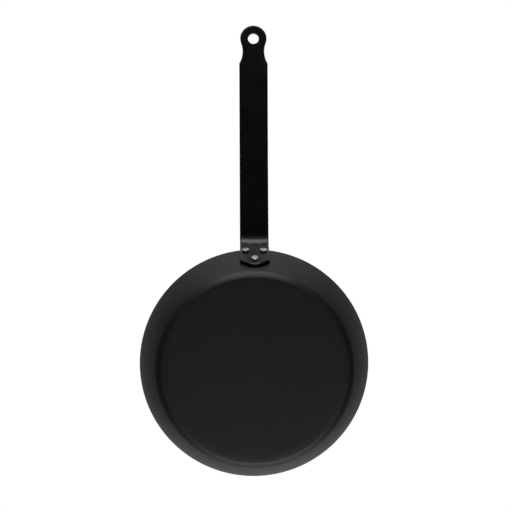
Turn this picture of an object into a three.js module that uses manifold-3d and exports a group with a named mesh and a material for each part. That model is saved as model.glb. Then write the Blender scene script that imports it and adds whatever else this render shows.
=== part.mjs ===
// Riveted steel frying pan: a pressed pan body, a bent strip handle and three rivets.
// Millimetres, +Z up. The origin is the centre of the base's underside, and the handle points along +Y.

import * as THREE from 'three';
import { mergeVertices } from 'three/addons/utils/BufferGeometryUtils.js';
import Module from 'manifold-3d';

const wasm = await Module();
wasm.setup();

const rad = THREE.MathUtils.degToRad;

// Pan body
const rimDiameter = 240;
const panHeight = 40;
const sheetThickness = 2;
const wallSlope = rad(60.5);
const baseBendRadius = 8;

// Handle strip
const stripThickness = 4;
const stripEdgeRadius = 0.8;
const rootWidth = 30;
const shoulderWidth = 31;

// Handle root, measured down the wall from the rim
const rootLength = 33.5;
const rootFlankAngle = rad(28);
const rootTipRadius = 10;
const rootCornerRadius = 3;

// Handle bend and grip
const bendRise = 4.1;
const bendInnerRadius = 13;
const gripStartSlope = rad(15);
const gripEndSlope = rad(8.2);
const gripLength = 220.2;

// Neck and hanging ring at the end of the grip
const ringInset = 1.1;
const neckInset = 2.6;
const neckRadius = 27.4;
const hangingHoleDiameter = 11.8;

// Rivets
const rivetShankDiameter = 5;
const rivetHeadOverhang = 1.25;
const outerHeadHeight = 1.9;
const outerRimHeight = 1.3;
const innerHeadHeight = 1.5;
const innerRimHeight = 0.5;
const upperRivetDrop = 9.9;
const rivetSideMargin = 6.2;
const lowerRivetTipMargin = 8.5;

// Clearances between pieces
const seatGap = 0.3;
const shankClearance = 0.3;

// Facets
const panSegments = 96;
const rivetSegments = 24;
const holeSegments = 32;
const bendSteps = 8;
const gripSteps = 22;
const arcSteps = 5;
const ringSteps = 14;
const acrossSteps = 6;
const endAngle = rad(7);
const weldDistance = 1e-4;
const cutReach = 4;

// Wall line: the rim is a full round of the sheet, and the wall's outer face leaves it at rimEdge
const rimRadius = rimDiameter / 2;
const rimRound = sheetThickness / 2;
const alongWall = new THREE.Vector2(Math.cos(wallSlope), Math.sin(wallSlope));
const outOfWall = new THREE.Vector2(Math.sin(wallSlope), -Math.cos(wallSlope));
const rimCentre = new THREE.Vector2(rimRadius - rimRound, panHeight - rimRound);
const rimEdge = rimCentre.clone().addScaledVector(outOfWall, rimRound);
const wallFootRadius = rimEdge.x - rimEdge.y / Math.tan(wallSlope);
const baseRadius = wallFootRadius - baseBendRadius * Math.tan(wallSlope / 2);

// Radius of the wall's outer face at a distance down the wall from the rim
function wallRadius(drop) {
  return rimEdge.x - drop * alongWall.x;
}

// Points of a circular arc in the plane
function arc(x, y, radius, from, to, steps) {
  return new THREE.EllipseCurve(x, y, radius, radius, from, to, to < from).getPoints(steps);
}

// Closed mesh to a solid for cutting
function toSolid(geometry) {
  const bare = geometry.clone();
  bare.deleteAttribute('normal');
  bare.deleteAttribute('uv');
  const welded = mergeVertices(bare, weldDistance);
  const index = welded.getIndex().array;
  const triangles = [];
  for (let i = 0; i < index.length; i += 3) {
    const [a, b, c] = [index[i], index[i + 1], index[i + 2]];
    if (a !== b && b !== c && c !== a) triangles.push(a, b, c);
  }
  const vertProperties = new Float32Array(welded.getAttribute('position').array);
  const triVerts = new Uint32Array(triangles);
  return new wasm.Manifold(new wasm.Mesh({ numProp: 3, vertProperties, triVerts }));
}

// Solid back to a mesh geometry
function toGeometry(solid) {
  const mesh = solid.getMesh();
  const geometry = new THREE.BufferGeometry();
  geometry.setAttribute('position', new THREE.BufferAttribute(mesh.vertProperties, 3));
  geometry.setIndex(new THREE.BufferAttribute(mesh.triVerts, 1));
  geometry.computeVertexNormals();
  return geometry;
}

// Cuts a list of tools out of a geometry
function cut(geometry, tools) {
  const solid = tools.reduce((body, tool) => body.subtract(toSolid(tool)), toSolid(geometry));
  return toGeometry(solid);
}

// Round tool along local Y, from one level to another
function roundTool(diameter, from, to) {
  const tool = new THREE.CylinderGeometry(diameter / 2, diameter / 2, to - from, holeSegments);
  return tool.translate(0, (from + to) / 2, 0);
}

// Pan body: the sheet's section turned about Z
function panGeometry() {
  const innerBend = baseBendRadius - sheetThickness;
  const down = -Math.PI / 2;
  const section = [
    new THREE.Vector2(0, 0),
    ...arc(baseRadius, baseBendRadius, baseBendRadius, down, down + wallSlope, arcSteps),
    ...arc(rimCentre.x, rimCentre.y, rimRound, down + wallSlope, down + wallSlope + Math.PI, arcSteps),
    ...arc(baseRadius, baseBendRadius, innerBend, down + wallSlope, down, arcSteps),
    new THREE.Vector2(0, sheetThickness),
  ];
  return new THREE.LatheGeometry(section, panSegments).rotateX(Math.PI / 2);
}

// Middle line of the strip in the YZ plane, by distance from the rim, negative down the wall
const bendMidRadius = bendInnerRadius + stripThickness / 2;
const bendLength = bendMidRadius * (wallSlope - gripStartSlope);
const bendEnd = bendRise + bendLength;
const bowRadius = gripLength / (gripStartSlope - gripEndSlope);
const midAtRim = rimEdge.clone().addScaledVector(outOfWall, seatGap + stripThickness / 2);

function underNormal(slope) {
  return new THREE.Vector2(Math.sin(slope), -Math.cos(slope));
}

function stripLine(s) {
  const bendStart = midAtRim.clone().addScaledVector(alongWall, Math.min(s, bendRise));
  if (s <= bendRise) return { point: bendStart, slope: wallSlope };
  const bendSlope = wallSlope - Math.min(s - bendRise, bendLength) / bendMidRadius;
  const bendCentre = bendStart.addScaledVector(underNormal(wallSlope), bendMidRadius);
  const bendPoint = bendCentre.addScaledVector(underNormal(bendSlope), -bendMidRadius);
  if (s <= bendEnd) return { point: bendPoint, slope: bendSlope };
  const slope = gripStartSlope - (s - bendEnd) / bowRadius;
  const bowCentre = bendPoint.addScaledVector(underNormal(gripStartSlope), bowRadius);
  return { point: bowCentre.addScaledVector(underNormal(slope), -bowRadius), slope };
}

// Half outline of the flat strip: x is the distance from the rim, y the half width
const ringCentre = bendEnd + gripLength;
const ringRadius = shoulderWidth / 2 - ringInset;
const neckHalf = ringRadius - neckInset;
const neckReach = Math.sqrt((ringRadius + neckRadius) ** 2 - (neckHalf + neckRadius) ** 2);
const neckPlace = ringCentre - neckReach;
const neckRingAngle = Math.asin(neckReach / (ringRadius + neckRadius));
const neckShoulderAngle = Math.acos(1 - (shoulderWidth / 2 - neckHalf) / neckRadius);
const shoulderPlace = neckPlace - neckRadius * Math.sin(neckShoulderAngle);

function halfOutline() {
  const tipCentre = rootTipRadius - rootLength;
  const tip = arc(tipCentre, 0, rootTipRadius, Math.PI - endAngle, Math.PI - rootFlankAngle, arcSteps);
  const flank = tip[tip.length - 1];
  const cornerMid = rootWidth / 2 - rootCornerRadius;
  const cornerY = cornerMid + rootCornerRadius * Math.sin(rootFlankAngle);
  const cornerX = flank.x + (cornerY - flank.y) * Math.tan(rootFlankAngle);
  const cornerCentre = cornerX + rootCornerRadius * Math.cos(rootFlankAngle);
  const corner = arc(cornerCentre, cornerMid, rootCornerRadius, Math.PI - rootFlankAngle, Math.PI / 2, arcSteps);

  const start = corner[corner.length - 1].x;
  const halfWidth = (s) => THREE.MathUtils.mapLinear(s, start, shoulderPlace, rootWidth, shoulderWidth) / 2;
  const straight = [];
  for (let i = 1; i <= arcSteps; i++) straight.push(start + ((bendRise - start) * i) / arcSteps);
  for (let i = 1; i <= bendSteps; i++) straight.push(bendRise + (bendLength * i) / bendSteps);
  for (let i = 1; i < gripSteps; i++) straight.push(bendEnd + ((shoulderPlace - bendEnd) * i) / gripSteps);

  const down = -Math.PI / 2;
  const neckFrom = down - neckShoulderAngle;
  const neckTo = down + neckRingAngle;
  const neck = arc(neckPlace, neckHalf + neckRadius, neckRadius, neckFrom, neckTo, ringSteps);
  const ring = arc(ringCentre, 0, ringRadius, Math.PI / 2 + neckRingAngle, endAngle, ringSteps);
  const sides = straight.map((s) => new THREE.Vector2(s, halfWidth(s)));
  return [...tip, ...corner, ...sides, ...neck, ...ring.slice(1)];
}

// Cross section of the strip: x across, y along the under normal, with rounded edges
function stripSection(half) {
  const flat = half - stripEdgeRadius;
  const deep = stripThickness / 2 - stripEdgeRadius;
  const under = [];
  for (let i = 0; i <= acrossSteps; i++) {
    under.push(new THREE.Vector2(-flat + (2 * flat * i) / acrossSteps, stripThickness / 2));
  }
  const lower = arc(flat, deep, stripEdgeRadius, Math.PI / 2, 0, 2).slice(1);
  const upper = arc(flat, -deep, stripEdgeRadius, 0, -Math.PI / 2, 2).slice(0, -1);
  const side = [...under, ...lower, ...upper];
  const back = side.map((p) => new THREE.Vector2(-p.x, -p.y));
  return [...side, ...back];
}

// How far the root follows the wall round: all of it on the wall, fading out through the bend
function stripPoint(s, p) {
  const { point, slope } = stripLine(s);
  const follow = 1 - THREE.MathUtils.smoothstep(s, 0, bendEnd);
  const wrap = (follow * p.x * p.x * Math.sin(wallSlope)) / (2 * wallRadius(-s));
  const place = point.clone().addScaledVector(underNormal(slope), p.y - wrap);
  return [p.x, place.x, place.y];
}

// Handle blank, lofted through sections along the strip
function stripGeometry() {
  const stations = halfOutline();
  const positions = [];
  let count = 0;
  for (const station of stations) {
    const section = stripSection(station.y);
    count = section.length;
    for (const p of section) positions.push(...stripPoint(station.x, p));
  }
  const index = [];
  for (let i = 0; i + 1 < stations.length; i++) {
    for (let j = 0; j < count; j++) {
      const k = (j + 1) % count;
      const [a, b] = [i * count + j, i * count + k];
      index.push(a, b + count, b, a, a + count, b + count);
    }
  }
  const last = (stations.length - 1) * count;
  for (let j = 1; j + 1 < count; j++) {
    index.push(0, j, j + 1, last, last + j + 1, last + j);
  }
  const geometry = new THREE.BufferGeometry();
  geometry.setAttribute('position', new THREE.Float32BufferAttribute(positions, 3));
  geometry.setIndex(index);
  return geometry;
}

// Hanging hole, square to the ring's face
function hangingHoleTool() {
  const { point, slope } = stripLine(ringCentre);
  const reach = stripThickness / 2 + cutReach;
  const tool = roundTool(hangingHoleDiameter, -reach, reach);
  return tool.rotateX(slope - Math.PI / 2).translate(0, point.x, point.y);
}

// Rivet: local Y runs out through the handle, with zero on the wall's outer face
function rivetGeometry() {
  const shank = rivetShankDiameter / 2;
  const head = shank + rivetHeadOverhang;
  const inner = -sheetThickness - seatGap;
  const outer = seatGap + stripThickness + seatGap;
  const dome = (level, rim, height, sign) => {
    const points = new THREE.EllipseCurve(0, 0, head, height - rim, 0, Math.PI / 2).getPoints(arcSteps);
    return points.map((p) => new THREE.Vector2(p.x, level + sign * (rim + p.y)));
  };
  const profile = [
    ...dome(inner, innerRimHeight, innerHeadHeight, -1).reverse(),
    new THREE.Vector2(head, inner),
    new THREE.Vector2(shank, inner),
    new THREE.Vector2(shank, outer),
    new THREE.Vector2(head, outer),
    ...dome(outer, outerRimHeight, outerHeadHeight, 1),
  ];
  profile[0].x = 0;
  profile[profile.length - 1].x = 0;
  return new THREE.LatheGeometry(profile, rivetSegments);
}

// Seat on the wall, turned round the pan and tipped square to the wall
function rivetSeat(across, drop) {
  const turn = new THREE.Group();
  const seat = new THREE.Group();
  const radius = wallRadius(drop);
  turn.rotation.z = Math.asin(across / radius);
  seat.position.set(0, radius, rimEdge.y - drop * alongWall.y);
  seat.rotation.x = wallSlope - Math.PI / 2;
  turn.add(seat);
  turn.updateMatrixWorld(true);
  return { turn, seat };
}

const upperRivetOffset = rootWidth / 2 - rivetSideMargin;
const lowerRivetDrop = rootLength - lowerRivetTipMargin;
const rivets = [
  { name: 'rivet_upper_left', ...rivetSeat(-upperRivetOffset, upperRivetDrop) },
  { name: 'rivet_upper_right', ...rivetSeat(upperRivetOffset, upperRivetDrop) },
  { name: 'rivet_lower', ...rivetSeat(0, lowerRivetDrop) },
];

// One tool per rivet makes its hole in both the wall and the handle's root
const rivetHoleDiameter = rivetShankDiameter + 2 * shankClearance;
const holeTools = rivets.map(({ seat }) => {
  const tool = roundTool(rivetHoleDiameter, -sheetThickness - cutReach, seatGap + stripThickness + cutReach);
  return tool.applyMatrix4(seat.matrixWorld);
});

// Finishes
const blackenedSteel = new THREE.MeshStandardMaterial({ color: '#2b2c2d', roughness: 0.5, metalness: 0.3 });
const coatedSteel = new THREE.MeshStandardMaterial({ color: '#0e0e0f', roughness: 0.4, metalness: 0.0 });
const bareSteel = new THREE.MeshStandardMaterial({ color: '#b4b4b2', roughness: 0.4, metalness: 1.0 });

function piece(name, geometry, material) {
  const mesh = new THREE.Mesh(geometry, material);
  mesh.name = name;
  return mesh;
}

// Assembly
const pan = new THREE.Group();
pan.add(piece('pan_body', cut(panGeometry(), holeTools), blackenedSteel));
pan.add(piece('handle', cut(stripGeometry(), [...holeTools, hangingHoleTool()]), coatedSteel));
for (const { name, turn, seat } of rivets) {
  seat.add(piece(name, rivetGeometry(), bareSteel));
  pan.add(turn);
}

export default pan;
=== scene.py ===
import math

import bpy
from mathutils import Matrix, Vector, noise


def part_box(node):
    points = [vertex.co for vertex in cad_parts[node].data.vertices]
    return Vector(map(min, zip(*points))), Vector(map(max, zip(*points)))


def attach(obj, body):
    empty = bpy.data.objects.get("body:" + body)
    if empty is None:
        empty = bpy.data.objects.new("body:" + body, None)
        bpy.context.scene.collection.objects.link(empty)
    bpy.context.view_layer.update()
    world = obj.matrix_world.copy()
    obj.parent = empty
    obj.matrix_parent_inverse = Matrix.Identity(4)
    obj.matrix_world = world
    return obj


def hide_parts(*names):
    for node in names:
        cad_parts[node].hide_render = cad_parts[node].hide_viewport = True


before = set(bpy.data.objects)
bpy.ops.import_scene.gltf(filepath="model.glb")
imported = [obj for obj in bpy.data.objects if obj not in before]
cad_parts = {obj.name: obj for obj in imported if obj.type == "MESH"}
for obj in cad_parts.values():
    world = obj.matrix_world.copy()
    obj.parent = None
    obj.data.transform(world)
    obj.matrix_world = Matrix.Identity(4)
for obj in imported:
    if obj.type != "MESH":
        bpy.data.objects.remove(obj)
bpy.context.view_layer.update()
mm = 0.001  # sizes of pieces are in millimetres, Blender works in metres
bpy.context.scene.view_settings.view_transform = "Standard"
print("frame loaded:", sorted(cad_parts))


def linear(hexColour):  # sRGB hex to the linear colour that a shader takes
    channels = [int(hexColour[i:i + 2], 16) / 255 for i in (1, 3, 5)]
    return tuple(c / 12.92 if c <= 0.04045 else ((c + 0.055) / 1.055) ** 2.4 for c in channels) + (1.0,)


# One node, its settings and its links. Inputs 6 and 7 of a colour mix are its two colours,
# 2 and 3 the two values of a plain mix.
def addNode(tree, kind, settings=None, inputs=None):
    node = tree.nodes.new(kind)
    for name, value in (settings or {}).items():
        setattr(node, name, value)
    for socket, value in (inputs or {}).items():
        if isinstance(value, bpy.types.NodeSocket):
            tree.links.new(value, node.inputs[socket])
        else:
            node.inputs[socket].default_value = value
    return node


def newMaterial(name):
    material = bpy.data.materials.new(name)
    material.use_nodes = True
    material.node_tree.nodes.clear()
    return material, material.node_tree


# Modelling steps that the pieces share

def pickOnly(piece):
    bpy.ops.object.select_all(action="DESELECT")
    piece.select_set(True)
    bpy.context.view_layer.objects.active = piece


def applyModifier(piece, kind, **settings):
    pickOnly(piece)
    modifier = piece.modifiers.new(kind.title(), kind)
    for name, value in settings.items():
        setattr(modifier, name, value)
    bpy.ops.object.modifier_apply(modifier=modifier.name)


def facesOut(piece):
    pickOnly(piece)
    bpy.ops.object.mode_set(mode="EDIT")
    bpy.ops.mesh.select_all(action="SELECT")
    bpy.ops.mesh.normals_make_consistent(inside=False)
    bpy.ops.object.mode_set(mode="OBJECT")


# A disc drawn out ring by ring, as on a lathe. Rings are (radius, height) in mm.
def turnPiece(name, rings, sides):
    bpy.ops.object.select_all(action="DESELECT")
    bpy.ops.mesh.primitive_circle_add(vertices=sides, radius=rings[0][0] * mm, fill_type="NGON")
    piece = bpy.context.object
    piece.name = piece.data.name = name
    bpy.ops.object.mode_set(mode="EDIT")
    bpy.ops.transform.translate(value=(0, 0, rings[0][1] * mm))
    bpy.ops.mesh.select_mode(type="EDGE")
    for (radius, height), (nextRadius, nextHeight) in zip(rings, rings[1:]):
        grow = nextRadius / radius
        rise = (nextHeight - height) * mm
        bpy.ops.mesh.extrude_edges_move(TRANSFORM_OT_translate={"value": (0, 0, rise)})
        bpy.ops.transform.resize(value=(grow, grow, 1), center_override=(0, 0, 0))
    bpy.ops.mesh.edge_face_add()
    bpy.ops.object.mode_set(mode="OBJECT")
    facesOut(piece)
    return piece


def finishPiece(piece, material, smoothAngle, node):
    pickOnly(piece)
    bpy.ops.object.shade_smooth_by_angle(angle=math.radians(smoothAngle))
    piece.data.materials.clear()
    piece.data.materials.append(material)
    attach(piece, "root")
    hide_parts(node)
    print(piece.name, "done:", len(piece.data.polygons), "faces")


def arcPoints(centre, radius, fromAngle, toAngle, steps):  # angles in degrees from the local x
    turns = [math.radians(fromAngle + (toAngle - fromAngle) * i / steps) for i in range(steps + 1)]
    return [(centre[0] + radius * math.cos(a), centre[1] + radius * math.sin(a)) for a in turns]


# Pan body: one steel sheet, pressed

panBox = [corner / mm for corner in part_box("pan_body")]
pan = {
    "rimRadius": round(panBox[1].x, 1), "height": round(panBox[1].z, 1), "sheet": 2.0,
    "baseEdge": 93.9, "land": 1.8,       # the press tool left a crease and a narrow land round the base
    "creaseSlope": 29.5, "footSlope": 54.5, "rimSlope": 64.5,   # degrees: the wall steepens to the rim
    "rollWidth": 8.0, "rollRise": 0.5, "rollStop": 0.2,   # the base eases up a little before the crease
    "flatRings": (12, 2), "innerRings": (1, 12),   # rings that keep the base flat, outside and inside
    "landRings": (0.1, 0.5),             # shares of the land
    "rollSteps": 10, "bendSteps": 16, "wallSteps": 22, "rimSteps": 12, "sides": 288,
    "smoothAngle": 30,
}
rimRound = pan["sheet"] / 2


def underNormal(angle):  # out of a surface that climbs at this angle, in the section plane
    return Vector((math.sin(angle), -math.cos(angle)))


creaseSlope, footSlope, rimSlope = (math.radians(pan[k]) for k in ("creaseSlope", "footSlope", "rimSlope"))
rimCentre = Vector((pan["rimRadius"] - rimRound, pan["height"] - rimRound))
rimEdge = rimCentre + underNormal(rimSlope) * rimRound
baseEdge = Vector((pan["baseEdge"], pan["rollRise"]))
# two arcs, the bend and the bowed wall, climb from the crease to the rim
bendStep = underNormal(footSlope) - underNormal(creaseSlope)
wallStep = underNormal(rimSlope) - underNormal(footSlope)
spread = bendStep.x * wallStep.y - bendStep.y * wallStep.x
landEnd = baseEdge + Vector((math.cos(creaseSlope), math.sin(creaseSlope))) * pan["land"]
climb = rimEdge - landEnd
bendRadius = (climb.x * wallStep.y - climb.y * wallStep.x) / spread
wallRadius = (bendStep.x * climb.y - bendStep.y * climb.x) / spread
bendCentre = landEnd - underNormal(creaseSlope) * bendRadius
wallCentre = rimEdge - underNormal(rimSlope) * wallRadius
print("bend radius %.1f, wall radius %.1f" % (bendRadius, wallRadius))


def wallAngle(drop):  # slope of the wall at a distance down from the rim
    return rimSlope - drop / wallRadius


def panRings():
    crease, foot, rim = (pan[k] - 90 for k in ("creaseSlope", "footSlope", "rimSlope"))
    rollStart = pan["baseEdge"] - pan["rollWidth"]
    rings = [(rollStart - inset, 0) for inset in pan["flatRings"]]
    for i in range(pan["rollSteps"] + 1):  # gentle rise of the base towards its edge
        share = i / pan["rollSteps"] * (1 - pan["rollStop"] / pan["rollWidth"])
        rings.append((rollStart + share * pan["rollWidth"], pan["rollRise"] * share ** 2))
    rings += [tuple(baseEdge + (landEnd - baseEdge) * share) for share in pan["landRings"]]
    rings += arcPoints(bendCentre, bendRadius, crease, foot, pan["bendSteps"])
    rings += arcPoints(wallCentre, wallRadius, foot, rim, pan["wallSteps"])[1:]
    rings += arcPoints(rimCentre, rimRound, rim, rim + 180, pan["rimSteps"])[1:]
    innerWall = wallRadius - pan["sheet"]
    rings += arcPoints(wallCentre, innerWall, rim, foot, pan["wallSteps"])[1:]
    innerFoot = Vector(rings[-1])
    innerBend = (innerFoot.y - pan["sheet"]) / (1 - math.cos(footSlope))
    innerCentre = innerFoot - underNormal(footSlope) * innerBend
    rings += arcPoints(innerCentre, innerBend, foot, -90, pan["bendSteps"])[1:]
    rings += [(innerCentre.x - inset, pan["sheet"]) for inset in pan["innerRings"]]
    return rings


panBody = turnPiece("panBody", panRings(), pan["sides"])
print("pan body turned")

# Rivets: seats on the wall, then one rivet copied to each

rivet = {
    "shank": 5.0, "head": 7.4, "hole": 5.6, "gap": 0.3, "strip": 4.0,
    "outerRim": 1.6, "outerCrown": 0.4, "innerRim": 0.5, "innerCrown": 1.0, "shoulder": 0.3,
    "innerEdge": 0.08, "outerEdge": 0.1,    # small chamfers under the heads
    "domeTurn": 86, "domeSteps": 8, "shoulderTurn": 80, "shoulderSteps": 5,   # degrees
    "crownSteps": 7, "crownShrink": 7.2,    # the last ring of the crown is nearly a point
    "wallDrill": (-5, 3), "stripDrill": (-1, 9),   # levels along the axis, from the wall's outer face
    "headFrom": 1.9,                        # in gaps, just below the outer head
    "roughAbove": 5, "roughBelow": -2.5,    # levels beyond which the struck heads are dented
    "dent": 0.07, "dentScale": 420, "dentShift": 7.3, "dentSeed": 1,   # scale per metre
    "each": {  # seat is (across, down from the rim), crown a share of the height, lean in degrees
        "rivet_upper_left": {"seat": (8.8, 9.9), "crown": 0.1, "lean": 4.0, "spread": 1.03, "squash": 0.86},
        "rivet_upper_right": {"seat": (-8.8, 9.9), "crown": 0.2, "lean": 2.5, "spread": 1.03, "squash": 0.84},
        "rivet_lower": {"seat": (0.0, 24.6), "crown": 0.55, "lean": 2.0, "spread": 0.92, "squash": 0.97},
    },
    "sides": 48, "smoothAngle": 40,
}


def seatMatrix(across, drop):  # local z runs out of the wall, zero on the wall's outer face
    angle = wallAngle(drop)
    foot = wallCentre + underNormal(angle) * wallRadius
    turn = Matrix.Rotation(-math.asin(across / foot.x), 4, "Z")
    return turn @ Matrix.Translation((0, foot.x * mm, foot.y * mm)) @ Matrix.Rotation(angle - math.pi, 4, "X")


def cutRound(piece, places, diameter, fromLevel, toLevel):  # round holes along the local z of each place
    depth = (toLevel - fromLevel) * mm
    for place in places:
        bpy.ops.object.select_all(action="DESELECT")
        bpy.ops.mesh.primitive_cylinder_add(vertices=rivet["sides"], radius=diameter / 2 * mm, depth=depth)
        drill = bpy.context.object
        drill.data.transform(Matrix.Translation((0, 0, (fromLevel + toLevel) / 2 * mm)))
        drill.data.transform(place)
        applyModifier(piece, "BOOLEAN", object=drill, operation="DIFFERENCE", solver="EXACT")
        bpy.data.objects.remove(drill)


seats = {node: seatMatrix(*own["seat"]) for node, own in rivet["each"].items()}
cutRound(panBody, seats.values(), rivet["hole"], *rivet["wallDrill"])
print("rivet holes cut in the wall")


def rivetRings():
    head, shank = rivet["head"] / 2, rivet["shank"] / 2
    inner = -pan["sheet"] - rivet["gap"]
    outer = 2 * rivet["gap"] + rivet["strip"]
    bend = rivet["shoulder"]
    innerEdge, outerEdge = rivet["innerEdge"], rivet["outerEdge"]
    rings = []
    for i in range(rivet["domeSteps"] + 1):  # low dome inside the pan
        a = math.radians(rivet["domeTurn"] - rivet["domeTurn"] * i / rivet["domeSteps"])
        rings.append((head * math.cos(a), inner - rivet["innerRim"] - rivet["innerCrown"] * math.sin(a)))
    rings += [(head, inner - innerEdge), (head - innerEdge, inner), (shank, inner)]
    rings += [(shank, outer), (head - outerEdge, outer), (head, outer + outerEdge)]
    bendFoot = outer + rivet["outerRim"] - bend
    rings.append((head, bendFoot))
    for i in range(1, rivet["shoulderSteps"] + 1):  # rounded shoulder
        a = math.radians(rivet["shoulderTurn"] * i / rivet["shoulderSteps"])
        rings.append((head - bend + bend * math.cos(a), bendFoot + bend * math.sin(a)))
    topRadius, topHeight = rings[-1]
    for i in range(1, rivet["crownSteps"] + 1):  # nearly flat crown
        share = 1 - i / rivet["crownShrink"]
        rings.append((topRadius * share, topHeight + rivet["outerCrown"] * (1 - share ** 2)))
    return rings


firstRivet = turnPiece("rivetUpperLeft", rivetRings(), rivet["sides"])
rivetPieces = {"rivet_upper_left": firstRivet}
for node, name in (("rivet_upper_right", "rivetUpperRight"), ("rivet_lower", "rivetLower")):
    pickOnly(firstRivet)
    bpy.ops.object.duplicate(linked=False)
    copy = bpy.context.object
    copy.name = copy.data.name = name
    rivetPieces[node] = copy
headFoot = (rivet["headFrom"] * rivet["gap"] + rivet["strip"]) * mm
crownFoot = headFoot + rivet["outerRim"] * mm
noise.seed_set(rivet["dentSeed"])  # the same dents in every run
for index, (node, piece) in enumerate(rivetPieces.items()):
    own = rivet["each"][node]
    shift = Vector((index * rivet["dentShift"], 0, 0))
    for vertex in piece.data.vertices:  # each head was upset a little differently
        if vertex.co.z > headFoot:
            vertex.co.x *= own["spread"]
            vertex.co.y *= own["spread"] * own["squash"]
        if vertex.co.z > crownFoot:
            vertex.co.z = crownFoot + (vertex.co.z - crownFoot) * own["crown"]
        if vertex.co.z > rivet["roughAbove"] * mm or vertex.co.z < rivet["roughBelow"] * mm:
            away = noise.noise_vector(Vector(vertex.co) * rivet["dentScale"] + shift)
            vertex.co += away * rivet["dent"] * mm
    middle = Matrix.Translation((0, 0, rivet["strip"] / 4 * mm))
    lean = Matrix.Rotation(math.radians(own["lean"]), 4, "X")
    piece.data.transform(seats[node] @ middle @ lean @ middle.inverted())
print("rivets turned and copied")

# Handle: a flat steel strip, blanked, bent over at the rim and curved to the wall at its root.
# In the pairs below a form starts or fades between two distances in mm, across or along the strip.

handle = {
    "thickness": rivet["strip"], "seatGap": rivet["gap"], "rootWidth": 30.0, "shoulderWidth": 31.0,
    "rootLength": 32.83, "flankAngle": 31.0, "tipRadius": 14.0, "cornerRadius": 3.0,
    "bendRise": 2.0, "bendInner": 13.0, "easeSlope": 26.5, "easeRadius": 33.0,   # slopes in degrees
    "gripStart": 15.0, "gripEnd": 8.2, "gripLength": 217.1,
    "ringInset": 1.1, "neckInset": 2.6, "neckRadius": 27.4, "hangingHole": 11.8, "holeBack": 0.4,
    # rolled long edges, a sheared root end with a rounded tip, a deburred hole
    "edgeRound": 1.6, "endRound": 0.5, "tipRound": 0.9, "tipRoundHalf": 5, "holeRound": 0.8, "holeReach": 0.6,
    "cornerEnd": 7.43, "rampStep": 1.5, "rampCuts": 8, "roundSteps": 5,
    # the tip is a thinned tongue, and the shears left its end uneven
    "tipBevel": 9.0, "tipDrop": 0.9, "tongueFade": (3.5, 7.5), "tonguePower": 1.1,
    "tipBack": 2.6, "tipBackFade": (0, 9), "backReach": 4,
    "flankBack": 0.8, "flankBackRise": (6, 9.5), "flankBackFade": (10, 13),
    "flankDress": 0.3, "flankDressRise": (3, 8), "dressReach": 10,
    # the bending tool left a shallow groove and a narrow mark, and slightly dished sides
    "groove": 0.15, "grooveAt": 4.3, "grooveRun": 2.6, "grooveEnd": 2.8, "grooveFade": (6.0, 9.0),
    "toolMark": 0.52, "markHalf": 0.55, "markAt": 4.1, "markFade": (5, 7),
    "dish": 0.25, "dishHalf": 15, "dishRise": (6, 15), "dishFade": (15, 60),
    "wrapFade": (-8, 5),                 # the root's curve round the wall runs out here
    # steps of the outline, then the cuts that let the blank bend
    "arcSteps": 10, "neckSteps": 16, "ringSteps": 40, "holeSteps": 32, "weld": 0.01,
    "tipCuts": (0.6, 1.2, 1.8, 2.4, 3.0, 3.6, 4.4), "rootPitch": 2.2, "rootCuts": 11,
    "rimCutStart": -2.2, "rimPitch": 0.6, "rimCuts": 7, "bendCuts": 30, "easeCuts": 8,
    "gripCutStart": 2, "gripCuts": 44, "markCuts": (-1, -0.5, 0, 0.5, 1),
    "acrossCuts": (-12.9, -11, -9, -7, -5, -2.5, 2.5, 5, 7, 9, 11, 12.9),
    "smoothAngle": 32,
}
bendMid = handle["bendInner"] + handle["thickness"] / 2
easeSlope, gripStart, gripEnd = (math.radians(handle[k]) for k in ("easeSlope", "gripStart", "gripEnd"))
bowRadius = handle["gripLength"] / (gripStart - gripEnd)
bendArcs = [  # radius, slope at the start, slope at the end; the bow of the grip has no end
    (bendMid, rimSlope, easeSlope),
    (handle["easeRadius"], easeSlope, gripStart),
    (bowRadius, gripStart, -1),
]
bendLength = bendMid * (rimSlope - easeSlope)
easeLength = handle["easeRadius"] * (easeSlope - gripStart)
bendEnd = handle["bendRise"] + bendLength + easeLength
ringCentre = bendEnd + handle["gripLength"]
ringRadius = handle["shoulderWidth"] / 2 - handle["ringInset"]


# Points are (half width, distance from the rim), from the root's tip to the ring's end and back by the hole.
def halfOutline():
    flank = handle["flankAngle"]
    half = handle["rootWidth"] / 2
    steps = handle["arcSteps"]
    tipCentre = (0, handle["tipRadius"] - handle["rootLength"])
    points = arcPoints(tipCentre, handle["tipRadius"], -90, -90 + flank, steps)
    cornerMid = half - handle["cornerRadius"]
    cornerX = cornerMid + handle["cornerRadius"] * math.sin(math.radians(flank))
    cornerS = points[-1][1] + (cornerX - points[-1][0]) * math.tan(math.radians(flank))
    cornerCentre = (cornerMid, cornerS + handle["cornerRadius"] * math.cos(math.radians(flank)))
    points += arcPoints(cornerCentre, handle["cornerRadius"], -90 + flank, 0, steps)
    neckHalf = ringRadius - handle["neckInset"]
    neckRadius = handle["neckRadius"]
    neckReach = math.sqrt((ringRadius + neckRadius) ** 2 - (neckHalf + neckRadius) ** 2)
    ringTurn = math.degrees(math.asin(neckReach / (ringRadius + neckRadius)))
    shoulderTurn = math.degrees(math.acos(1 - (handle["shoulderWidth"] / 2 - neckHalf) / neckRadius))
    neckCentre = (neckHalf + neckRadius, ringCentre - neckReach)
    points += arcPoints(neckCentre, neckRadius, 180 + shoulderTurn, 180 - ringTurn, handle["neckSteps"])
    points += arcPoints((0, ringCentre), ringRadius, -ringTurn, 90, handle["ringSteps"])[1:]
    holeCentre = (0, ringCentre - handle["holeBack"])
    points += arcPoints(holeCentre, handle["hangingHole"] / 2, 90, -90, handle["holeSteps"])
    return points


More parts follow.
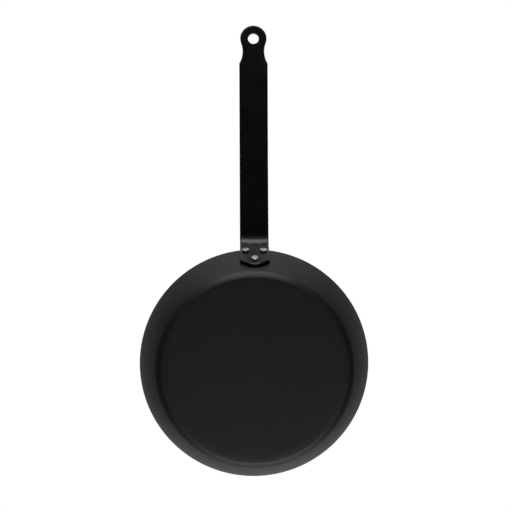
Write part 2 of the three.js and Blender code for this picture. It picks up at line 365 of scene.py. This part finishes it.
def traceBlank(name, points):  # one vertex drawn round the half outline, filled and mirrored
    weld = handle["weld"] * mm
    bpy.ops.object.select_all(action="DESELECT")
    bpy.ops.mesh.primitive_plane_add(size=mm)
    piece = bpy.context.object
    piece.name = piece.data.name = name
    bpy.ops.object.mode_set(mode="EDIT")
    bpy.ops.mesh.select_mode(type="VERT")
    bpy.ops.mesh.merge(type="CENTER")
    start = (points[0][0] * mm, points[0][1] * mm, handle["thickness"] / 2 * mm)
    bpy.ops.transform.translate(value=start)
    for (x, s), (nextX, nextS) in zip(points, points[1:] + points[:1]):
        bpy.ops.mesh.extrude_vertices_move(
            TRANSFORM_OT_translate={"value": ((nextX - x) * mm, (nextS - s) * mm, 0)})
    bpy.ops.mesh.select_all(action="SELECT")
    bpy.ops.mesh.remove_doubles(threshold=weld)
    bpy.ops.mesh.edge_face_add()
    bpy.ops.object.mode_set(mode="OBJECT")
    applyModifier(piece, "MIRROR", use_axis=(True, False, False), use_clip=True, merge_threshold=weld)
    bpy.ops.object.mode_set(mode="EDIT")
    bpy.ops.mesh.select_all(action="SELECT")
    bpy.ops.mesh.extrude_region_move(TRANSFORM_OT_translate={"value": (0, 0, -handle["thickness"] * mm)})
    bpy.ops.object.mode_set(mode="OBJECT")
    facesOut(piece)
    return piece


def cutAt(piece, places, axis):  # plane cuts through the whole blank
    pickOnly(piece)
    normal = (1, 0, 0) if axis == "x" else (0, 1, 0)
    bpy.ops.object.mode_set(mode="EDIT")
    for place in places:
        bpy.ops.mesh.select_all(action="SELECT")
        bpy.ops.mesh.bisect(plane_co=[place * mm * n for n in normal], plane_no=normal)
    bpy.ops.object.mode_set(mode="OBJECT")


def roundEdges(piece):  # one bevel, with a weight for each edge
    cornerEnd = handle["cornerEnd"] - handle["rootLength"]
    rampLength = handle["rampStep"] * handle["rampCuts"]
    cutAt(piece, [cornerEnd + handle["rampStep"] * i for i in range(1, handle["rampCuts"] + 1)], "y")
    mesh = piece.data
    weights = mesh.attributes.new("bevel_weight_edge", "FLOAT", "EDGE")
    sideEdges = set()
    for face in mesh.polygons:
        if abs(face.normal.z) < 0.5:  # a face on the strip's edge, not on its two sides
            sideEdges.update(face.edge_keys)
    for edge in mesh.edges:
        a, b = (mesh.vertices[i].co for i in edge.vertices)
        if tuple(sorted(edge.vertices)) not in sideEdges or abs(a.z - b.z) > 0.1 * mm:  # not a level edge
            continue
        middle = (a + b) / 2 / mm
        ramp = min(1, max(0, (middle.y - cornerEnd) / rampLength))
        size = handle["endRound"] + (handle["edgeRound"] - handle["endRound"]) * ramp
        if middle.y < cornerEnd and middle.z > 0:  # the tip is rounded over, its flanks are not
            size += (handle["tipRound"] - size) * max(0, 1 - abs(middle.x) / handle["tipRoundHalf"])
        if math.hypot(middle.x, middle.y - ringCentre) < handle["hangingHole"] * handle["holeReach"]:
            size = handle["holeRound"]
        weights.data[edge.index].value = size / handle["edgeRound"]
    applyModifier(piece, "BEVEL", limit_method="WEIGHT", width=handle["edgeRound"] * mm,
                  segments=handle["roundSteps"], use_clamp_overlap=False, loop_slide=False)


def crossCuts(piece):  # cuts across and along the blank, so that it can be bent
    root = -handle["rootLength"]
    rise, tipCuts = handle["bendRise"], handle["tipCuts"]
    bendCuts, easeCuts, gripCuts = handle["bendCuts"], handle["easeCuts"], handle["gripCuts"]
    stations = [root + step for step in tipCuts]
    stations += [root + tipCuts[-1] + handle["rootPitch"] * i for i in range(1, handle["rootCuts"] + 1)]
    stations += [handle["rimCutStart"] + handle["rimPitch"] * i for i in range(handle["rimCuts"])]
    stations += [rise + bendLength * i / bendCuts for i in range(bendCuts + 1)]
    stations += [rise + bendLength + easeLength * i / easeCuts for i in range(1, easeCuts + 1)]
    gripCutStart = bendEnd + handle["gripCutStart"]
    stations += [gripCutStart + handle["gripLength"] * i / gripCuts for i in range(gripCuts + 2)]
    stations += [handle["markAt"] + handle["markHalf"] * step for step in handle["markCuts"]]
    cutAt(piece, stations, "y")
    cutAt(piece, handle["acrossCuts"], "x")


stripOffset = handle["seatGap"] + handle["thickness"] / 2


def stripLine(s):  # middle of the strip in the YZ plane, and its slope
    if s <= 0:
        angle = wallAngle(-s)
        return wallCentre + underNormal(angle) * (wallRadius + stripOffset), angle
    along = Vector((math.cos(rimSlope), math.sin(rimSlope)))
    point = rimEdge + underNormal(rimSlope) * stripOffset + along * min(s, handle["bendRise"])
    if s <= handle["bendRise"]:
        return point, rimSlope
    rest = s - handle["bendRise"]
    for radius, fromSlope, toSlope in bendArcs:  # the bend, its eased end and the slight bow of the grip
        turn = min(rest / radius, fromSlope - toSlope)
        point = point + (underNormal(fromSlope) - underNormal(fromSlope - turn)) * radius
        rest -= turn * radius
        if rest <= 1e-9:
            break
    return point, fromSlope - turn


def smoothShare(value, low, high):
    share = min(1, max(0, (value - low) / (high - low)))
    return share * share * (3 - 2 * share)


def endRise(across):  # how far the root's end lies above its tip, at a distance from the centre line
    flank = math.radians(handle["flankAngle"])
    reach = handle["tipRadius"] * math.sin(flank)
    if across < reach:
        return handle["tipRadius"] - math.sqrt(handle["tipRadius"] ** 2 - across ** 2)
    return handle["tipRadius"] * (1 - math.cos(flank)) + (across - reach) * math.tan(flank)


def endShift(across, fromTip, h):  # the sheared end: its back edge is cut back, its flanks are dressed
    if h >= 0:
        dress = handle["flankDress"] * smoothShare(across, *handle["flankDressRise"])
        return dress * max(0, 1 - fromTip / handle["dressReach"])
    fromEnd = max(0, fromTip - endRise(across))
    shift = handle["tipBack"] * (1 - smoothShare(across, *handle["tipBackFade"]))
    flankRise = smoothShare(across, *handle["flankBackRise"])
    shift -= handle["flankBack"] * flankRise * (1 - smoothShare(across, *handle["flankBackFade"]))
    return shift * max(0, 1 - fromEnd / handle["backReach"])


def faceDrop(across, s, fromTip):  # how far the outer face lies low at the tongue, the groove and the mark
    tongue = max(0, 1 - fromTip / handle["tipBevel"]) * (1 - smoothShare(across, *handle["tongueFade"]))
    drop = handle["tipDrop"] * tongue ** handle["tonguePower"]
    low = handle["grooveAt"]
    groove = min(1, max(0, (s - low) / handle["grooveRun"] + 1)) ** 2
    groove *= 1 - smoothShare(s, low, low + handle["grooveEnd"])
    drop += handle["groove"] * groove * (1 - smoothShare(across, *handle["grooveFade"]))
    mark = max(0, 1 - abs(s - handle["markAt"]) / handle["markHalf"])
    drop += handle["toolMark"] * mark * (1 - smoothShare(across, *handle["markFade"]))
    return drop


def bendBlank(piece):  # flat blank (across, along, through) to its place on the pan
    for vertex in piece.data.vertices:
        x, s, h = vertex.co / mm
        fromTip = s + handle["rootLength"]
        s += endShift(abs(x), fromTip, h)
        point, angle = stripLine(s)
        follow = 1 - smoothShare(s, *handle["wrapFade"])
        wrap = follow * x * x * math.sin(wallAngle(max(-s, 0))) / (2 * point.x)
        if h > 0:
            h -= faceDrop(abs(x), s, fromTip)
        dish = handle["dish"] * (x / handle["dishHalf"]) ** 2
        dish *= smoothShare(s, *handle["dishRise"]) * (1 - smoothShare(s, *handle["dishFade"]))
        place = point + underNormal(angle) * (h - wrap - dish)
        vertex.co = Vector((x, place.x, place.y)) * mm


strip = traceBlank("handleStrip", halfOutline())
print("handle blank traced")
roundEdges(strip)
crossCuts(strip)
bendBlank(strip)
facesOut(strip)
cutRound(strip, seats.values(), rivet["hole"], *rivet["stripDrill"])
print("handle bent and drilled")

# Finishes. Sizes are in mm, and most of a noise lies in the range below.

noiseLow, noiseHigh = 0.3, 0.7

# Carbon steel sheet, pressed, blackened and lightly lacquered: a satin dark grey, near neutral,
# with a fine grit, soft clouds in the film, faint rings from the press, a paler line where the film
# thins over the rim, and a painted highlight: a pale line beside the crease of the base.
blackenedLook = {
    # rim: pale colour of the film worn thin over the rim, also used for the painted highlight line at the
    # crease
    "film": "#1d1d20", "cloud": "#232326", "rim": "#3c3c3d", "roughness": 0.44, "glossSpread": 0.03,
    "grit": 0.45, "cloudSize": 38.0, "ringPitch": 1.7, "sheen": 0.4,
    "rimBand": (38.6, 39.8),             # heights between which the film thins
    "creaseMiddle": 0.5, "creaseHalf": 0.6, "creaseHighlight": 0.25,   # a painted highlight line beside the edge of the base
}


def blackenedSteel():
    material, tree = newMaterial("blackened_carbon_steel_pressed")
    place = addNode(tree, "ShaderNodeTexCoord").outputs["Object"]
    split = addNode(tree, "ShaderNodeSeparateXYZ", inputs={"Vector": place})
    flat = addNode(tree, "ShaderNodeVectorMath", {"operation": "MULTIPLY"}, {0: place, 1: (1, 1, 0)})
    radius = addNode(tree, "ShaderNodeVectorMath", {"operation": "LENGTH"}, {0: flat.outputs[0]})
    cloud = addNode(tree, "ShaderNodeTexNoise", inputs={
        "Vector": place, "Scale": 1 / (blackenedLook["cloudSize"] * mm), "Detail": 4.0, "Roughness": 0.55})
    grit = addNode(tree, "ShaderNodeTexNoise", inputs={
        "Vector": place, "Scale": 1 / (blackenedLook["grit"] * mm), "Detail": 2.0})
    rings = addNode(tree, "ShaderNodeTexNoise", {"noise_dimensions": "1D"}, {
        "W": radius.outputs["Value"], "Scale": 1 / (blackenedLook["ringPitch"] * mm), "Detail": 2.0})
    rimLow, rimHigh = blackenedLook["rimBand"]
    rim = addNode(tree, "ShaderNodeMapRange", {"interpolation_type": "SMOOTHSTEP"}, {
        "Value": split.outputs["Z"], "From Min": rimLow * mm, "From Max": rimHigh * mm})
    rimWear = addNode(tree, "ShaderNodeMath", {"operation": "MULTIPLY"}, {
        0: rim.outputs[0], 1: cloud.outputs["Fac"]})
    film = addNode(tree, "ShaderNodeMix", {"data_type": "RGBA"}, {
        "Factor": cloud.outputs["Fac"], 6: linear(blackenedLook["film"]), 7: linear(blackenedLook["cloud"])})
    # painted highlight: a thin ring beside the crease is mixed towards the pale rim colour, on top of the
    # real wear at the rim
    creaseRadius = (pan["baseEdge"] + blackenedLook["creaseMiddle"]) * mm
    crease = addNode(tree, "ShaderNodeMath", {"operation": "COMPARE"}, {
        0: radius.outputs["Value"], 1: creaseRadius, 2: blackenedLook["creaseHalf"] * mm})
    wearAndHighlight = addNode(tree, "ShaderNodeMath", {"operation": "MULTIPLY_ADD"}, {
        0: crease.outputs[0], 1: blackenedLook["creaseHighlight"], 2: rimWear.outputs[0]})
    wornAndHighlit = addNode(tree, "ShaderNodeMix", {"data_type": "RGBA"}, {
        "Factor": wearAndHighlight.outputs[0], 6: film.outputs[2], 7: linear(blackenedLook["rim"])})
    smoothest = blackenedLook["roughness"] - blackenedLook["glossSpread"]
    roughest = blackenedLook["roughness"] + blackenedLook["glossSpread"]
    gloss = addNode(tree, "ShaderNodeMapRange", inputs={
        "Value": cloud.outputs["Fac"], "From Min": noiseLow, "From Max": noiseHigh,
        "To Min": smoothest, "To Max": roughest})
    ringBump = addNode(tree, "ShaderNodeBump", inputs={
        "Strength": 0.05, "Distance": 0.02 * mm, "Height": rings.outputs["Fac"]})
    gritBump = addNode(tree, "ShaderNodeBump", inputs={
        "Strength": 0.12, "Distance": 0.02 * mm, "Height": grit.outputs["Fac"],
        "Normal": ringBump.outputs[0]})
    shader = addNode(tree, "ShaderNodeBsdfPrincipled", inputs={
        "Base Color": wornAndHighlit.outputs[2], "Roughness": gloss.outputs[0], "Normal": gritBump.outputs[0],
        "Specular IOR Level": blackenedLook["sheen"]})
    addNode(tree, "ShaderNodeOutputMaterial", inputs={"Surface": shader.outputs[0]})
    return material


# Mild steel strip with a stoved black enamel: deep black and satin, with a faint orange peel
# and a trace of dust.
enamelLook = {
    "black": "#010101", "dust": "#030303", "roughness": 0.26, "glossSpread": 0.02,
    "peel": 2.4, "dustSize": 22.0,
}


def blackEnamel():
    material, tree = newMaterial("stoved_black_enamel_on_steel")
    place = addNode(tree, "ShaderNodeTexCoord").outputs["Object"]
    dust = addNode(tree, "ShaderNodeTexNoise", inputs={
        "Vector": place, "Scale": 1 / (enamelLook["dustSize"] * mm), "Detail": 5.0, "Roughness": 0.6})
    peel = addNode(tree, "ShaderNodeTexNoise", inputs={
        "Vector": place, "Scale": 1 / (enamelLook["peel"] * mm), "Detail": 1.0})
    colour = addNode(tree, "ShaderNodeMix", {"data_type": "RGBA"}, {
        "Factor": dust.outputs["Fac"], 6: linear(enamelLook["black"]), 7: linear(enamelLook["dust"])})
    smoothest = enamelLook["roughness"] - enamelLook["glossSpread"]
    roughest = enamelLook["roughness"] + enamelLook["glossSpread"]
    gloss = addNode(tree, "ShaderNodeMapRange", inputs={
        "Value": dust.outputs["Fac"], "From Min": noiseLow, "From Max": noiseHigh,
        "To Min": smoothest, "To Max": roughest})
    bump = addNode(tree, "ShaderNodeBump", inputs={
        "Strength": 0.04, "Distance": 0.03 * mm, "Height": peel.outputs["Fac"]})
    shader = addNode(tree, "ShaderNodeBsdfPrincipled", inputs={
        "Base Color": colour.outputs[2], "Roughness": gloss.outputs[0], "Normal": bump.outputs[0]})
    addNode(tree, "ShaderNodeOutputMaterial", inputs={"Surface": shader.outputs[0]})
    return material


# Bright mild steel, cold headed: a pale satin metal with small tool marks and some dull spots.
rivetLook = {
    "bright": "#e6e4e8", "dull": "#9c9a9e", "roughness": 0.38, "glossSpread": 0.08,
    "markSize": 1.4, "scuff": 0.35,
    "spotRange": (0.4, 0.65),            # of the noise, where the dull spots come in
}


def bareSteel():
    material, tree = newMaterial("bare_mild_steel_cold_headed")
    place = addNode(tree, "ShaderNodeTexCoord").outputs["Object"]
    marks = addNode(tree, "ShaderNodeTexNoise", inputs={
        "Vector": place, "Scale": 1 / (rivetLook["markSize"] * mm), "Detail": 3.0})
    scuff = addNode(tree, "ShaderNodeTexNoise", inputs={
        "Vector": place, "Scale": 1 / (rivetLook["scuff"] * mm), "Detail": 2.0})
    spotLow, spotHigh = rivetLook["spotRange"]
    spots = addNode(tree, "ShaderNodeMapRange", inputs={
        "Value": marks.outputs["Fac"], "From Min": spotLow, "From Max": spotHigh})
    colour = addNode(tree, "ShaderNodeMix", {"data_type": "RGBA"}, {
        "Factor": spots.outputs[0], 6: linear(rivetLook["bright"]), 7: linear(rivetLook["dull"])})
    smoothest = rivetLook["roughness"] - rivetLook["glossSpread"]
    roughest = rivetLook["roughness"] + rivetLook["glossSpread"]
    gloss = addNode(tree, "ShaderNodeMapRange", inputs={
        "Value": scuff.outputs["Fac"], "From Min": noiseLow, "From Max": noiseHigh,
        "To Min": smoothest, "To Max": roughest})
    bump = addNode(tree, "ShaderNodeBump", inputs={
        "Strength": 0.25, "Distance": 0.05 * mm, "Height": scuff.outputs["Fac"]})
    shader = addNode(tree, "ShaderNodeBsdfPrincipled", inputs={
        "Base Color": colour.outputs[2], "Metallic": 1.0, "Roughness": gloss.outputs[0],
        "Normal": bump.outputs[0]})
    addNode(tree, "ShaderNodeOutputMaterial", inputs={"Surface": shader.outputs[0]})
    return material


finishPiece(panBody, blackenedSteel(), pan["smoothAngle"], "pan_body")
finishPiece(strip, blackEnamel(), handle["smoothAngle"], "handle")
applyModifier(strip, "WEIGHTED_NORMAL", keep_sharp=True)
steel = bareSteel()
for node, piece in rivetPieces.items():
    finishPiece(piece, steel, rivet["smoothAngle"], node)

# Stage: a pale floor that shows the shadow from above and is clear from below. Sizes here are in metres.

stage = {"floorRadius": 12.0, "floorSides": 96, "floorLevel": -0.2 * mm, "paper": "#e9e9e8",
         "fadeStart": 0.6, "fadeEnd": 2.6}
bpy.ops.object.select_all(action="DESELECT")
bpy.ops.mesh.primitive_circle_add(vertices=stage["floorSides"], radius=stage["floorRadius"],
                                  fill_type="NGON", location=(0, 0, stage["floorLevel"]))
floor = bpy.context.object
floor.name = floor.data.name = "paleFloor"
bpy.ops.object.transform_apply(location=True, rotation=False, scale=False)
paper, paperTree = newMaterial("pale_paper_sheet")
fromBelow = addNode(paperTree, "ShaderNodeNewGeometry").outputs["Backfacing"]
paperShader = addNode(paperTree, "ShaderNodeBsdfDiffuse", inputs={"Color": linear(stage["paper"])})
floorPlace = addNode(paperTree, "ShaderNodeTexCoord").outputs["Object"]
distance = addNode(paperTree, "ShaderNodeVectorMath", {"operation": "LENGTH"}, {0: floorPlace})
fade = addNode(paperTree, "ShaderNodeMapRange", {"interpolation_type": "SMOOTHSTEP"}, {
    "Value": distance.outputs["Value"], "From Min": stage["fadeStart"], "From Max": stage["fadeEnd"]})
white = addNode(paperTree, "ShaderNodeEmission", inputs={"Color": (1, 1, 1, 1), "Strength": 1.0})
sheet = addNode(paperTree, "ShaderNodeMixShader", inputs={
    0: fade.outputs[0], 1: paperShader.outputs[0], 2: white.outputs[0]})  # far off it is the white backdrop
clear = addNode(paperTree, "ShaderNodeBsdfTransparent")
paperMix = addNode(paperTree, "ShaderNodeMixShader", inputs={
    0: fromBelow, 1: sheet.outputs[0], 2: clear.outputs[0]})  # seen from above only
addNode(paperTree, "ShaderNodeOutputMaterial", inputs={"Surface": paperMix.outputs[0]})
floor.data.materials.append(paper)
floor.visible_shadow = floor.visible_diffuse = floor.visible_glossy = floor.visible_transmission = False
print("floor laid")

lamps = {  # place (m), aim (m), width and height (m), power (W)
    "softboxAtHandle": ((0.05, 1.16, -0.3), (0.0, 0.13, 0.03), 1.1, 0.62, 6.8),
    "softboxAtFront": ((-0.08, -0.99, -0.52), (0.0, -0.1, 0.0), 1.25, 1.2, 7.8),
    "softboxAbove": ((0.0, 0.1, 1.8), (0.0, 0.1, 0.0), 0.8, 0.8, 10.0),
}
for name, (place, aim, width, height, power) in lamps.items():
    lamp = bpy.data.lights.new(name, "AREA")
    lamp.shape = "RECTANGLE"
    lamp.size = width
    lamp.size_y = height
    lamp.energy = power
    holder = bpy.data.objects.new(name, lamp)
    bpy.context.scene.collection.objects.link(holder)
    holder.location = place
    holder.rotation_euler = (Vector(aim) - Vector(place)).to_track_quat("-Z", "Y").to_euler()
    holder.visible_camera = False
print("lamps placed:", len(lamps))

# Room: a white backdrop above and around the pan, and a dim room on the side that the base faces
room = {"dim": 0.012, "tint": "#f8faff"}
patches = {  # axis of the direction, where the light starts, where it is full, how strong it is there
    "backdrop": ("Z", 0.17, 0.9, 0.53),
    "zenith": ("Z", 0.82, 0.95, 0.47),   # brings the backdrop to full white overhead
    "cards": ("Z", 0.64, 0.76, 0.4),     # dark cards, taken from the backdrop above the handle
    "cardSide": ("Y", 0.15, 0.4, 1.0),
    "horizon": ("Z", -0.15, 0.15, 1.0),
    "handleGlow": ("Y", 0.45, 0.9, 0.48),
    "baseGlow": ("Y", -0.5, -0.85, 0.27),
    "frontFill": ("Z", -0.86, -0.99, 0.23),
    "frontSide": ("Y", 0.4, 0.0, 1.0),
    "soft": ("Z", -0.1, 0.4, 0.8),       # what a matt surface gets in place of the backdrop
}
world = bpy.data.worlds.new("studio")
bpy.context.scene.world = world
world.use_nodes = True
skyTree = world.node_tree
skyTree.nodes.clear()
direction = addNode(skyTree, "ShaderNodeTexCoord").outputs["Generated"]
side = addNode(skyTree, "ShaderNodeSeparateXYZ", inputs={"Vector": direction}).outputs
ray = addNode(skyTree, "ShaderNodeLightPath")


def lightPatch(name):  # rises from nothing to its full strength along one axis
    axis, low, high, top = patches[name]
    patch = addNode(skyTree, "ShaderNodeMapRange", {"interpolation_type": "SMOOTHSTEP"}, {
        "Value": side[axis], "From Min": low, "From Max": high, "To Max": top})
    return patch.outputs[0]


def combine(operation, first, second):
    return addNode(skyTree, "ShaderNodeMath", {"operation": operation}, {0: first, 1: second}).outputs[0]


glows = combine("ADD", lightPatch("handleGlow"), lightPatch("baseGlow"))
glows = combine("MULTIPLY", lightPatch("horizon"), glows)
frontFill = combine("MULTIPLY", lightPatch("frontFill"), lightPatch("frontSide"))
cards = combine("MULTIPLY", lightPatch("cards"), lightPatch("cardSide"))
gloss = combine("ADD", lightPatch("backdrop"), glows)
gloss = combine("SUBTRACT", combine("ADD", gloss, frontFill), cards)
gloss = combine("ADD", gloss, lightPatch("zenith"))
soft = combine("ADD", lightPatch("soft"), frontFill)
lit = addNode(skyTree, "ShaderNodeMix", inputs={"Factor": ray.outputs["Is Diffuse Ray"], 2: gloss, 3: soft})
roomLight = combine("ADD", lit.outputs[0], room["dim"])
seen = combine("MAXIMUM", ray.outputs["Is Camera Ray"], ray.outputs["Is Transmission Ray"])
strength = addNode(skyTree, "ShaderNodeMix", inputs={"Factor": seen, 2: roomLight, 3: 1.0})
tint = addNode(skyTree, "ShaderNodeMix", {"data_type": "RGBA"}, {
    "Factor": seen, 6: linear(room["tint"]), 7: (1, 1, 1, 1)})
backdrop = addNode(skyTree, "ShaderNodeBackground", inputs={
    "Color": tint.outputs[2], "Strength": strength.outputs[0]})
addNode(skyTree, "ShaderNodeOutputWorld", inputs={"Surface": backdrop.outputs[0]})
print("room lit")

# Camera: below the base, fitted to the circles of rim and base. Place and aim in mm.
shot = {"place": (16.841, 156.891, -774.8), "aim": (-1.242, 114.13, 20.0),
        "lens": 55.0, "sensor": 36.0, "clip": 0.01}
eye = Vector(shot["place"]) * mm
forward = (Vector(shot["aim"]) * mm - eye).normalized()
right = forward.cross(Vector((0, 1, 0))).normalized()
up = right.cross(forward)
camera = bpy.data.objects.new("camera", bpy.data.cameras.new("camera"))
camera.data.lens = shot["lens"]
camera.data.sensor_width = shot["sensor"]
camera.data.clip_start = shot["clip"]
camera.matrix_world = Matrix.Translation(eye) @ Matrix((right, up, -forward)).transposed().to_4x4()
bpy.context.scene.collection.objects.link(camera)
bpy.context.scene.camera = camera
print("camera set")
